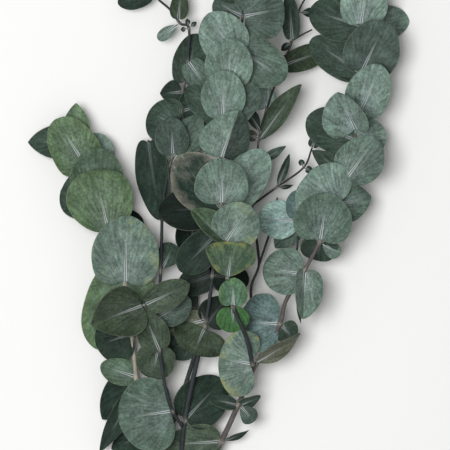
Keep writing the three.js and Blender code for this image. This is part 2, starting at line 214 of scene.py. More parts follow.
@dataclass(frozen=True)
class Leaf:
    """One leaf: where it grows, which way it points, its size, its form and its colours.

    joint counts the stem's joints, heading is its direction in the view from above, lift rises from
    the table and roll turns it about the midrib, in degrees. stem names the stem that it grows on.
    yellow fades the margin, rib says how clearly the pale midrib shows and the shade share darkens the
    right half with painted shade, as where a folded half turns from the light.
    """

    joint: float
    heading: float
    lift: float
    roll: float
    length: float
    width: float
    form: Form
    tone: Tone
    stem: str = "main"
    yellow: float = 0.0
    rib: float = 1.0
    # Share of painted shade on the right half.
    shade: float = 0.0


@dataclass(frozen=True)
class Stem:
    """One stem: its radius at both ends, its joints from the foot up, and its bark."""

    foot_radius: float
    tip_radius: float
    joints: tuple[tuple[float, float, float], ...]
    bark: Bark

    def place(self, share: float) -> Vector:
        """Finds a place on the curve through the joints.

        Args:
            share: how far along the stem, from 0 at its foot to 1 at its tip, and a little past both.

        Returns:
            The place in the view's millimetres.
        """
        places = [Vector(joint) for joint in self.joints]
        last = len(places) - 1
        point = share * last
        start = min(max(math.floor(point), 0), last - 1)
        t = point - start
        p1, p2 = places[start], places[start + 1]
        p0 = places[start - 1] if start > 0 else 2 * p1 - p2
        p3 = places[start + 2] if start + 2 <= last else 2 * p2 - p1
        t2, t3 = t * t, t * t * t
        first, second = (p2 - p0) * 0.5, (p3 - p1) * 0.5
        turn = p1 * (2 * t3 - 3 * t2 + 1) + first * (t3 - 2 * t2 + t)
        return turn + p2 * (3 * t2 - 2 * t3) + second * (t3 - t2)

    def direction(self, share: float) -> Vector:
        """Returns the unit direction of the stem at a share of its length."""
        step = 0.001
        return (self.place(share + step) - self.place(share - step)).normalized()

    def radius(self, share: float) -> float:
        """Returns the stem's plain radius at a share of its length."""
        return self.foot_radius + (self.tip_radius - self.foot_radius) * share

    def length(self) -> float:
        """Returns the stem's length along its curve."""
        steps = 20 * (len(self.joints) - 1)
        places = [self.place(step / steps) for step in range(steps + 1)]
        return sum((b - a).length for a, b in zip(places, places[1:]))


@dataclass(frozen=True)
class Ring:
    """One ring of a tube: its centre, its direction, its radius and how much of a node it is."""

    centre: Vector
    along: Vector
    radius: float
    travelled: float
    node: float = 0.0

    def matrix(self) -> Matrix:
        """Returns the transform from a unit circle in the XY plane to this ring."""
        side = Vector((self.along.y, -self.along.x, 0.0))
        side = side.normalized() if side.length > TINY else Vector((1.0, 0.0, 0.0))
        up = side.cross(self.along).normalized()
        columns = (side * self.radius, up * self.radius, self.along, self.centre)
        rows = [[column[axis] for column in columns] for axis in range(3)]
        return Matrix(rows + [[0.0, 0.0, 0.0, 1.0]])


class Paint:
    """The values that a mesh carries for its materials, written as attributes on its points."""

    COLOURS = ("body", "heart", "rim", "trait")
    VECTORS = ("place", "flat")

    def __init__(self, bm: bmesh.types.BMesh) -> None:
        """Makes the layers on an empty mesh."""
        layers = bm.verts.layers
        self.colours = {name: layers.float_color.new(name) for name in self.COLOURS}
        self.vectors = {name: layers.float_vector.new(name) for name in self.VECTORS}

    def colour(self, verts: Sequence[bmesh.types.BMVert], name: str, value: Colour) -> None:
        """Writes one colour on some points."""
        layer = self.colours[name]
        for vert in verts:
            vert[layer] = value

    def vector(self, vert: bmesh.types.BMVert, name: str, value: tuple[float, float, float]) -> None:
        """Writes one vector on a point."""
        vert[self.vectors[name]] = Vector(value)


def tube(bm: bmesh.types.BMesh, paint: Paint, rings: Sequence[Ring], sides: int) -> list:
    """Draws a closed tube through rings, by extruding one circle from ring to ring.

    Args:
        bm: the mesh to add to.
        paint: its layers, where place keeps the ring's node value and flat the grain's place.
        rings: the rings from one end to the other.
        sides: how many sides the tube has.

    Returns:
        The new points.
    """
    verts = bmesh.ops.create_circle(bm, cap_ends=False, radius=1.0, segments=sides)["verts"]
    loop = list({edge for vert in verts for edge in vert.link_edges})
    made = list(verts)
    place = Matrix.Identity(4)
    ends = [list(loop)]
    for index, ring in enumerate(rings):
        if index:
            grown = bmesh.ops.extrude_edge_only(bm, edges=loop)["geom"]
            verts = [part for part in grown if isinstance(part, bmesh.types.BMVert)]
            fresh = set(verts)
            edges = (part for part in grown if isinstance(part, bmesh.types.BMEdge))
            loop = [edge for edge in edges if fresh.issuperset(edge.verts)]
            made.extend(verts)
        for vert in verts:
            local = place.inverted() @ vert.co
            paint.vector(vert, "flat", (local.x, local.y, ring.travelled))
            paint.vector(vert, "place", (0.0, 0.0, ring.node))
        bmesh.ops.transform(bm, matrix=ring.matrix() @ place.inverted(), verts=verts)
        place = ring.matrix()
    ends.append(loop)
    caps = [bmesh.ops.contextual_create(bm, geom=end)["faces"] for end in ends]
    faces = list({face for vert in made for face in vert.link_faces} | {f for cap in caps for f in cap})
    bmesh.ops.recalc_face_normals(bm, faces=faces)
    return made


@dataclass
class LeafMaker:
    """Makes one leaf: a thin waved blade, its midrib and its stalk."""

    thickness: float = 0.5
    neck_length: float = 2.5
    side_lift: float = 10.0
    seat: float = 0.8
    end_inset: float = 0.1
    bend_spread: float = 0.1
    cup_spread: float = 0.1
    ripples: float = 3.0
    ripple_shift: float = 2.0
    stations: int = 26
    half_columns: int = 9
    end_share: float = 0.9999
    weld: float = 0.01
    edge_spread: float = 0.09
    edge_run: float = 2.4
    pucker: float = 0.05
    pucker_rise: float = 3.0
    swell_run: float = 4.0
    swell_cross: float = 1.6
    swell_shift: float = 40.0
    full_groove_half: float = 12.0
    groove_depth: float = 0.32
    groove_width: float = 0.7
    ridge_height: float = 0.16
    ridge_place: float = 1.3
    rib_reach: float = 0.8
    rib_rings: int = 9
    rib_sides: int = 7
    rib_sink: float = 0.35
    rib_sink_gain: float = 0.3
    rib_taper: float = 0.6
    stalk_sink: float = 0.6
    stalk_radius: float = 0.75
    rib_end_radius: float = 0.14
    least_stoutness: float = 0.45
    stout_half: float = 36.0
    seed_span: float = 977.0
    seed_parts: float = 10.0
    dark_rib: float = 0.3
    full_rib_green: float = 0.17
    rib_band: float = 0.01
    light_spread: float = 0.05
    light_run: float = 7.0

    def blade_point(self, cut: "LeafCut", angle: float, across: float, face: float) -> Vector:
        """Finds a point of the blade in the leaf's own frame.

        Args:
            cut: the leaf's measures.
            angle: the station, from 0 at the base to pi at the tip.
            across: from -1 on the right margin to 1 on the left one.
            face: how far the point lies above the middle of the blade.

        Returns:
            The point, with x along the midrib and z out of the upper face.
        """
        form = cut.form
        along = (1 - math.cos(angle)) / 2
        share = abs(across)
        side = math.copysign(1.0, across) if across else 0.0
        back = form.lobe * math.sin(angle) * (1 - angle / math.pi) ** 2 * share
        ragged = 1 + self.edge_spread * noise.noise(Vector((self.edge_run * along, side, cut.seed)))
        out = share * cut.half * form.breadth(angle) / cut.breadth * ragged
        shift = cut.phase + (0 if across > 0 else self.ripple_shift)
        ripple = math.sin(self.ripples * angle + shift) * across * across
        rise = cut.cup * out * out / cut.half + form.wave * cut.half * ripple
        rise -= cut.bend * cut.length * along * along
        spot = Vector((self.swell_run * along, self.swell_cross * across, cut.seed + self.swell_shift))
        rise += self.pucker * cut.half * noise.noise(spot) * min(1.0, self.pucker_rise * along)
        trough = self.groove_depth * math.exp(-((out / self.groove_width) ** 2))
        ridge = self.ridge_height * math.exp(-(((out - self.ridge_place) / self.groove_width) ** 2))
        rise += (ridge - trough) * (1 - along) * min(1.0, cut.half / self.full_groove_half)
        turn = 0.0 if side == 0 else math.radians(form.fold[0] if side > 0 else form.fold[1])
        level = rise + face if side == 0 else rise + face * math.cos(turn)
        return Vector((
            self.neck_length + cut.length * (along - back),
            side * (out * math.cos(turn) - face * math.sin(turn)),
            out * math.sin(turn) + level,
        ))

    def blade(self, bm: bmesh.types.BMesh, paint: Paint, cut: "LeafCut") -> list:
        """Draws the blade: a grid laid over its upper face, then given its thickness.

        Args:
            bm: the mesh to add to.
            paint: its layers.
            cut: the leaf's measures.

        Returns:
            The new points.
        """
        grid = bmesh.ops.create_grid(
            bm, x_segments=self.stations, y_segments=2 * self.half_columns, size=1.0
        )
        verts = grid["verts"]
        ends: list = []
        for vert in verts:
            angle = (vert.co.x + 1) / 2 * math.pi
            even = abs(vert.co.y)
            across = math.copysign(even * even * (3 - 2 * even), vert.co.y) if even > TINY else 0.0
            if abs(vert.co.x) > self.end_share:
                ends.append(vert)
                across = 0.0
            point = self.blade_point(cut, angle, across, self.thickness / 2)
            vert.co = point
            paint.vector(vert, "place", (angle / math.pi, across, 0.0))
            paint.vector(vert, "flat", (point.x, point.y, cut.seed))
        bmesh.ops.remove_doubles(bm, verts=ends, dist=self.weld)
        verts = [vert for vert in verts if vert.is_valid]
        paint.colour(verts, "trait", (0.0, 0.0, cut.yellow, cut.rib))
        faces = list({face for vert in verts for face in vert.link_faces})
        shell = bmesh.ops.extrude_face_region(bm, geom=faces)["geom"]
        under = [part for part in shell if isinstance(part, bmesh.types.BMVert)]
        for vert in under:
            station, across, _ = vert[paint.vectors["place"]]
            vert.co = self.blade_point(cut, station * math.pi, across, -self.thickness / 2)
        paint.colour(under, "trait", (1.0, 0.0, cut.yellow, cut.rib))
        faces = list({face for vert in verts + under for face in vert.link_faces})
        bmesh.ops.recalc_face_normals(bm, faces=faces)
        return verts + under

    def rib(self, bm: bmesh.types.BMesh, paint: Paint, cut: "LeafCut") -> list:
        """Draws the stalk and the midrib as one tapered tube that sinks into the blade.

        Args:
            bm: the mesh to add to.
            paint: its layers.
            cut: the leaf's measures.

        Returns:
            The new points.
        """
        stout = min(1.0, self.least_stoutness + cut.half / self.stout_half)
        places = [Vector((-self.stalk_sink, 0.0, 0.0))]
        for step in range(self.rib_rings):
            share = step / (self.rib_rings - 1)
            angle = math.acos(1 - 2 * self.rib_reach * share)
            sunk = -self.thickness * (self.rib_sink + self.rib_sink_gain * share)
            places.append(self.blade_point(cut, angle, 0.0, sunk))
        rings = []
        for index, place in enumerate(places):
            before = places[max(index - 1, 0)]
            after = places[min(index + 1, len(places) - 1)]
            share = index / (len(places) - 1)
            radius = self.stalk_radius + (self.rib_end_radius - self.stalk_radius) * share**self.rib_taper
            rings.append(Ring(place, (after - before).normalized(), radius * stout, place.x))
        verts = tube(bm, paint, rings, self.rib_sides)
        for vert in verts:
            along = max(0.0, (vert.co.x - self.neck_length) / cut.length)
            paint.vector(vert, "place", (along, 0.0, 0.0))
            paint.vector(vert, "flat", (vert.co.x, vert.co.y, cut.seed))
        paint.colour(verts, "trait", (0.0, 1.0, 0.0, cut.rib))
        return verts

    def add(self, bm: bmesh.types.BMesh, paint: Paint, stem: Stem, leaf: Leaf, draws: Draws) -> None:
        """Adds one whole leaf to a shoot's mesh.

        Args:
            bm: the mesh to add to, in millimetres.
            paint: its layers.
            stem: the stem that the leaf grows on.
            leaf: the leaf.
            draws: the draws, three of which each leaf takes.
        """
        last = len(stem.joints) - 1
        share = min(leaf.joint, last - self.end_inset) / last
        base = stem.place(share)
        if abs(leaf.lift) > self.side_lift:
            base.z += math.copysign(self.seat * stem.radius(share), leaf.lift)
        form = leaf.form.value
        tone = leaf.tone.value
        green = linear(tone.body)[1]
        cut = LeafCut(
            form=form,
            length=leaf.length - self.neck_length,
            half=leaf.width / 2,
            breadth=form.full_breadth(),
            bend=form.bend + draws.spread(self.bend_spread),
            cup=form.cup + draws.spread(self.cup_spread),
            phase=2 * math.pi * draws.next(),
            seed=draws.state % self.seed_span / self.seed_parts,
            yellow=leaf.yellow,
            rib=leaf.rib * (self.dark_rib + (1 - self.dark_rib) * min(1.0, green / self.full_rib_green)),
        )
        verts = self.blade(bm, paint, cut) + self.rib(bm, paint, cut)
        # Painted shade: the points of the right half get darker colours, by the leaf's shade share.
        right = [vert for vert in verts if vert[paint.vectors["place"]].y < -self.rib_band]
        light = 1 + self.light_spread * math.sin(cut.seed * self.light_run)
        for name, code in (("body", tone.body), ("heart", tone.heart), ("rim", tone.rim)):
            paint.colour(verts, name, scaled(linear(code), light))
            paint.colour(right, name, scaled(linear(code), light * (1 - leaf.shade)))
        turn = Euler((math.radians(leaf.roll), -math.radians(leaf.lift), math.radians(leaf.heading)))
        place = Matrix.Translation(base) @ turn.to_matrix().to_4x4()
        bmesh.ops.transform(bm, matrix=place, verts=verts)
        for vert in verts:
            vert.co.z = pressed(vert.co.z)


@dataclass(frozen=True)
class LeafCut:
    """The measures of one leaf after its draws."""

    form: BladeForm
    length: float
    half: float
    breadth: float
    bend: float
    cup: float
    phase: float
    seed: float
    yellow: float
    rib: float


@dataclass
class StemMaker:
    """Makes one stem: a tube that swells at its nodes, with rough bark."""

    ring_step: float = 2.4
    least_rings: int = 4
    sides: int = 12
    node_swell: float = 0.32
    node_width: float = 1.5
    roughness: float = 0.05
    rough_run: float = 0.25
    foot_sink: float = 1.8

    def add(self, bm: bmesh.types.BMesh, paint: Paint, stem: Stem, nodes: Sequence[float]) -> None:
        """Adds one stem to a shoot's mesh.

        Args:
            bm: the mesh to add to, in millimetres.
            paint: its layers.
            stem: the stem.
            nodes: the joints that leaves grow from.
        """
        last = len(stem.joints) - 1
        length = stem.length()
        count = max(self.least_rings, round(length / self.ring_step))
        spots = [node / last * length for node in nodes]
        rings = []
        for index in range(count + 1):
            share = -self.foot_sink / length + (1 + self.foot_sink / length) * index / count
            travelled = share * length
            near = min((abs(travelled - spot) for spot in spots), default=length)
            node = math.exp(-((near / self.node_width) ** 2))
            rough = 1 + self.roughness * noise.noise(Vector((travelled * self.rough_run, length, 0.0)))
            radius = stem.radius(max(share, 0.0)) * rough * (1 + self.node_swell * node)
            rings.append(Ring(stem.place(share), stem.direction(share), radius, travelled, node))
        verts = tube(bm, paint, rings, self.sides)
        for vert in verts:
            vert.co.z = pressed(vert.co.z)
        paint.colour(verts, "body", linear(stem.bark.value))


@dataclass
class Shoot:
    """One leafy shoot: its stems with its leaves, made as two pieces that stand for its node."""

    name: str
    slot: str
    stems: dict[str, Stem]
    leaves: Sequence[Leaf]
    leaf_maker: LeafMaker = field(default_factory=LeafMaker)
    stem_maker: StemMaker = field(default_factory=StemMaker)

    def piece(self, label: str, bm: bmesh.types.BMesh, material: bpy.types.Material) -> None:
        """Turns a finished mesh into a piece of the part.

        Args:
            label: the piece's name.
            bm: its mesh in the view's millimetres, which is freed.
            material: its material.
        """
        into = Matrix.Scale(MM, 4) @ Matrix.Translation(-MIDDLE)
        bmesh.ops.transform(bm, matrix=into, verts=bm.verts)
        for face in bm.faces:
            face.smooth = True
        mesh = bpy.data.meshes.new(label)
        bm.to_mesh(mesh)
        bm.free()
        mesh.materials.append(material)
        piece = bpy.data.objects.new(label, mesh)
        bpy.context.scene.collection.objects.link(piece)
        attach(piece, "root")
        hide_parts(self.name)
        log.info("%s: %d faces", label, len(mesh.polygons))

    def build(self, draws: Draws, blade: bpy.types.Material, bark: bpy.types.Material) -> None:
        """Builds the shoot's leaves and stems.

        Args:
            draws: the draws that all shoots share.
            blade: the leaves' material.
            bark: the stems' material.
        """
        bm = bmesh.new()
        paint = Paint(bm)
        for leaf in self.leaves:
            self.leaf_maker.add(bm, paint, self.stems[leaf.stem], leaf, draws)
        self.piece(self.name + "_leaves", bm, blade)
        bm = bmesh.new()
        paint = Paint(bm)
        for name, stem in self.stems.items():
            nodes = sorted({leaf.joint for leaf in self.leaves if leaf.stem == name})
            self.stem_maker.add(bm, paint, stem, nodes)
        self.piece(self.name + "_stems", bm, bark)


class Graph:
    """Writes the nodes of one material or node group."""

    def __init__(self, tree: bpy.types.NodeTree) -> None:
        """Keeps the tree that the nodes go in."""
        self.tree = tree

    def put(self, kind: str, inputs: dict[Any, Any] | None = None, **settings: Any) -> bpy.types.Node:
        """Adds one node.

        Args:
            kind: the node's type.
            inputs: a value or a socket for each input, by its name or number.
            settings: the node's own settings.

        Returns:
            The node.
        """
        node = self.tree.nodes.new(kind)
        for name, value in settings.items():
            setattr(node, name, value)
        for key, value in (inputs or {}).items():
            if isinstance(value, bpy.types.NodeSocket):
                self.tree.links.new(value, node.inputs[key])
            else:
                node.inputs[key].default_value = value
        return node

    def link(self, source: bpy.types.NodeSocket, sink: bpy.types.NodeSocket) -> None:
        """Links an output to an input."""
        self.tree.links.new(source, sink)

    def swing(self, value: Any, width: float) -> bpy.types.NodeSocket:
        """Turns a value about one half into a factor about one."""
        moved = self.math("SUBTRACT", value, 0.5)
        return self.plus(self.times(moved, width), 1.0)

    def times(self, first: Any, second: Any) -> bpy.types.NodeSocket:
        """Multiplies two values."""
        return self.math("MULTIPLY", first, second)

    def plus(self, first: Any, second: Any) -> bpy.types.NodeSocket:
        """Adds two values."""
        return self.math("ADD", first, second)

    def rest(self, value: Any) -> bpy.types.NodeSocket:
        """Returns what a value leaves of one."""
        return self.math("SUBTRACT", 1.0, value)

    def math(self, operation: str, *values: Any, clamp: bool = False) -> bpy.types.NodeSocket:
        """Adds a Math node and returns its output."""
        inputs = dict(enumerate(values))
        node = self.put("ShaderNodeMath", inputs, operation=operation, use_clamp=clamp)
        return node.outputs[0]

    def ramp(self, value: Any, low: float, high: float) -> bpy.types.NodeSocket:
        """Turns a value into a mask that rises smoothly from 0 at low to 1 at high."""
        inputs = {"Value": value, "From Min": low, "From Max": high}
        node = self.put("ShaderNodeMapRange", inputs, interpolation_type="SMOOTHSTEP")
        return node.outputs[0]

    def mix(self, factor: Any, first: Any, second: Any, blend: str = "MIX") -> bpy.types.NodeSocket:
        """Mixes two colours and returns the result."""
        inputs = {0: factor, 6: first, 7: second}
        node = self.put("ShaderNodeMix", inputs, data_type="RGBA", blend_type=blend)
        return node.outputs[2]

    def parts(self, vector: Any) -> Any:
        """Splits a vector and returns its three numbers."""
        return self.put("ShaderNodeSeparateXYZ", {0: vector}).outputs

    def attribute(self, name: str) -> Any:
        """Reads an attribute of the mesh and returns the node's outputs."""
        return self.put("ShaderNodeAttribute", attribute_name=name).outputs

    def noise(self, vector: Any, scale: float, detail: float = 2.0) -> bpy.types.NodeSocket:
        """Adds a noise texture and returns its value."""
        inputs = {"Vector": vector, "Scale": scale, "Detail": detail}
        return self.put("ShaderNodeTexNoise", inputs).outputs["Fac"]

    def group(self, tree: bpy.types.NodeTree, **inputs: Any) -> bpy.types.Node:
        """Places a node group, with its inputs by name, where _ stands for a space."""
        named = {key.replace("_", " "): value for key, value in inputs.items()}
        return self.put("ShaderNodeGroup", named, node_tree=tree)


class Effects:
    """The node groups that several materials share, each built once."""

    RIB_FADE = (0.3, 1.1)
    RIB_LINE = (0.12, 0.55)
    RIB_GROOVE = (0.1, 0.42)
    LEAST_GAP = 0.18
    RIB_RISE = 0.6
    FAN_ROOT = 6.0
    FAN_STREAKS = (1.3, 4.0)
    FAN_FINER = (2.2, 1.6, 1.0)
    SPECK_BEND = 0.8
    SPECK_EDGE = (0.3, 1.0)
    ZONE_NOISE = (0.13, 3.0)
    HEART_STRETCH = 1.2
    HEART_WANDER = 1.1
    HEART_REACH = (0.0, 0.9)
    RIM_WANDER = 0.6
    RIM_REACH = (0.55, 1.0)
    EDGE_REACH = (0.95, 0.99)
    BARK_FINE = (3.0, 2.0)
    BARK_FINE_SHARE = 0.35

    def __init__(self) -> None:
        """Builds every group."""
        self.ribs = self.make_ribs()
        self.fan = self.make_fan()
        self.mottle = self.make_mottle()
        self.specks = self.make_specks()
        self.zones = self.make_zones()
        self.grain = self.make_grain()

    def start(self, name: str, inputs: dict[str, Any], outputs: Sequence[str]) -> tuple[Graph, Any, Any]:
        """Starts a node group.

        Args:
            name: the group's name.
            inputs: for each input, its socket type, or its value where it is a number.
            outputs: the names of the outputs, each one a number.

        Returns:
            The graph, the outputs of the group's input node and the inputs of its output node.
        """
        tree = bpy.data.node_groups.new(name, "ShaderNodeTree")
        for label, value in inputs.items():
            kind = value if isinstance(value, str) else "NodeSocketFloat"
            socket = tree.interface.new_socket(label, in_out="INPUT", socket_type=kind)
            if not isinstance(value, str):
                socket.default_value = value
        for label in outputs:
            tree.interface.new_socket(label, in_out="OUTPUT", socket_type="NodeSocketFloat")
        graph = Graph(tree)
        source = graph.put("NodeGroupInput")
        sink = graph.put("NodeGroupOutput")
        return graph, source.outputs, sink.inputs

    def make_ribs(self) -> bpy.types.NodeTree:
        """Two pale lines with a groove between them that is darkened with painted shade, which close and
        fade towards the tip.
        """
        inputs = {"Along": 0.0, "Offset": 0.0, "Reach": 0.62, "Width": 0.75}
        graph, source, sink = self.start("pale_ribs", inputs, ("Pale", "Groove", "Height"))
        left = graph.math("DIVIDE", source["Along"], source["Reach"])
        fade = graph.rest(graph.ramp(left, *self.RIB_FADE))
        gap = graph.times(source["Width"], graph.math("SUBTRACT", 1.0, left, clamp=True))
        gap = graph.plus(gap, self.LEAST_GAP)
        away = graph.math("ABSOLUTE", source["Offset"])
        line = graph.math("ABSOLUTE", graph.math("SUBTRACT", away, gap))
        pale = graph.rest(graph.ramp(line, *self.RIB_LINE))
        graph.link(graph.times(pale, fade), sink["Pale"])
        groove = graph.rest(graph.ramp(away, *self.RIB_GROOVE))
        graph.link(graph.times(groove, fade), sink["Groove"])
        height = graph.math("SUBTRACT", graph.times(pale, self.RIB_RISE), groove)
        graph.link(graph.times(height, fade), sink["Height"])
        return graph.tree

    def make_fan(self) -> bpy.types.NodeTree:
        """Streaks and fine veins that fan out from the foot of the midrib."""
        inputs = {"Flat": "NodeSocketVector", "Count": 13.0, "Run": 0.06, "Fineness": 0.03}
        graph, source, sink = self.start("fan_veins", inputs, ("Streaks", "Veins"))
        parts = graph.parts(source["Flat"])
        turn = graph.math("ARCTAN2", parts[1], graph.plus(parts[0], self.FAN_ROOT))
        squares = graph.plus(graph.times(parts[0], parts[0]), graph.times(parts[1], parts[1]))
        reach = graph.math("SQRT", squares)
        spread = graph.times(turn, source["Count"])
        run = graph.times(reach, source["Run"])
        polar = graph.put("ShaderNodeCombineXYZ", {0: spread, 1: run, 2: parts[2]}).outputs[0]
        streaks = graph.noise(polar, *self.FAN_STREAKS)
        graph.link(streaks, sink["Streaks"])
        twice = graph.put("ShaderNodeVectorMath", {0: polar, 1: self.FAN_FINER}, operation="MULTIPLY")
        ridge = graph.noise(twice.outputs[0], 1.0, 2.0)
        line = graph.math("ABSOLUTE", graph.math("SUBTRACT", ridge, 0.5))
        veins = graph.rest(graph.ramp(line, 0.0, source["Fineness"]))
        graph.link(veins, sink["Veins"])
        return graph.tree

    def make_mottle(self) -> bpy.types.NodeTree:
        """Soft patches, middling mottles and fine grain, as values about one half."""
        inputs = {"Flat": "NodeSocketVector", "Patch": 0.08, "Mottle": 0.46, "Grain": 1.3}
        graph, source, sink = self.start("mottle", inputs, ("Patches", "Mottles", "Grain"))
        graph.link(graph.noise(source["Flat"], source["Patch"], 2.0), sink["Patches"])
        graph.link(graph.noise(source["Flat"], source["Mottle"], 4.0), sink["Mottles"])
        graph.link(graph.noise(source["Flat"], source["Grain"], 2.0), sink["Grain"])
        return graph.tree

    def make_specks(self) -> bpy.types.NodeTree:
        """Small dark specks, on a share of the cells of a cell pattern."""
        inputs = {"Flat": "NodeSocketVector", "Cells": 0.16, "Share": 0.3, "Size": 0.1}
        graph, source, sink = self.start("specks", inputs, ("Specks",))
        bent = graph.put("ShaderNodeTexNoise", {"Vector": source["Flat"], "Scale": self.SPECK_BEND})
        pushed = graph.put("ShaderNodeVectorMath", {0: source["Flat"], 1: bent.outputs["Color"]})
        inputs = {"Vector": pushed.outputs[0], "Scale": source["Cells"]}
        cells = graph.put("ShaderNodeTexVoronoi", inputs).outputs
        soft = graph.math("DIVIDE", cells["Distance"], source["Size"])
        soft = graph.rest(graph.ramp(soft, *self.SPECK_EDGE))
        parts = graph.put("ShaderNodeSeparateColor", {0: cells["Color"]}).outputs
        chosen = graph.math("LESS_THAN", parts[0], source["Share"])
        graph.link(graph.times(soft, chosen), sink["Specks"])
        return graph.tree

    def make_zones(self) -> bpy.types.NodeTree:
        """The heart of a blade about the foot of its midrib, and its margin, with broken borders."""
        inputs = {"Along": 0.0, "Across": 0.0, "Flat": "NodeSocketVector"}
        graph, source, sink = self.start("blade_zones", inputs, ("Heart", "Rim", "Edge"))
        away = graph.math("ABSOLUTE", source["Across"])
        wander = graph.math("SUBTRACT", graph.noise(source["Flat"], *self.ZONE_NOISE), 0.5)
        first = graph.times(source["Along"], self.HEART_STRETCH)
        reach = graph.plus(graph.math("POWER", first, 2.0), graph.math("POWER", away, 2.0))
        reach = graph.plus(graph.math("SQRT", reach), graph.times(wander, self.HEART_WANDER))
        graph.link(graph.rest(graph.ramp(reach, *self.HEART_REACH)), sink["Heart"])
        outer = graph.math("MAXIMUM", away, source["Along"])
        outer = graph.plus(outer, graph.times(wander, self.RIM_WANDER))
        graph.link(graph.ramp(outer, *self.RIM_REACH), sink["Rim"])
        graph.link(graph.ramp(away, *self.EDGE_REACH), sink["Edge"])
        return graph.tree

    def make_grain(self) -> bpy.types.NodeTree:
        """Bark: long streaks and fine cracks along the stem."""
        inputs = {"Place": "NodeSocketVector", "Length": 0.12, "Scale": 1.6}
        graph, source, sink = self.start("bark_grain", inputs, ("Streaks", "Height"))
        stretch = graph.put("ShaderNodeCombineXYZ", {0: 1.0, 1: 1.0, 2: source["Length"]}).outputs[0]
        moved = graph.put("ShaderNodeVectorMath", {0: source["Place"], 1: stretch}, operation="MULTIPLY")
        streaks = graph.noise(moved.outputs[0], source["Scale"], 4.0)
        fine = graph.noise(source["Place"], *self.BARK_FINE)
        graph.link(streaks, sink["Streaks"])
        graph.link(graph.plus(streaks, graph.times(fine, self.BARK_FINE_SHARE)), sink["Height"])
        return graph.tree


def new_material(name: str) -> tuple[bpy.types.Material, Graph, bpy.types.Node]:
    """Starts a material with an empty tree, a Principled shader and its output.

    Args:
        name: the material's name.

    Returns:
        The material, the graph of its tree and its Principled shader.
    """
    material = bpy.data.materials.new(name)
    material.use_nodes = True
    material.node_tree.nodes.clear()
    graph = Graph(material.node_tree)
    shader = graph.put("ShaderNodeBsdfPrincipled")
    sink = graph.put("ShaderNodeOutputMaterial")
    graph.link(shader.outputs[0], sink.inputs["Surface"])
    return material, graph, shader


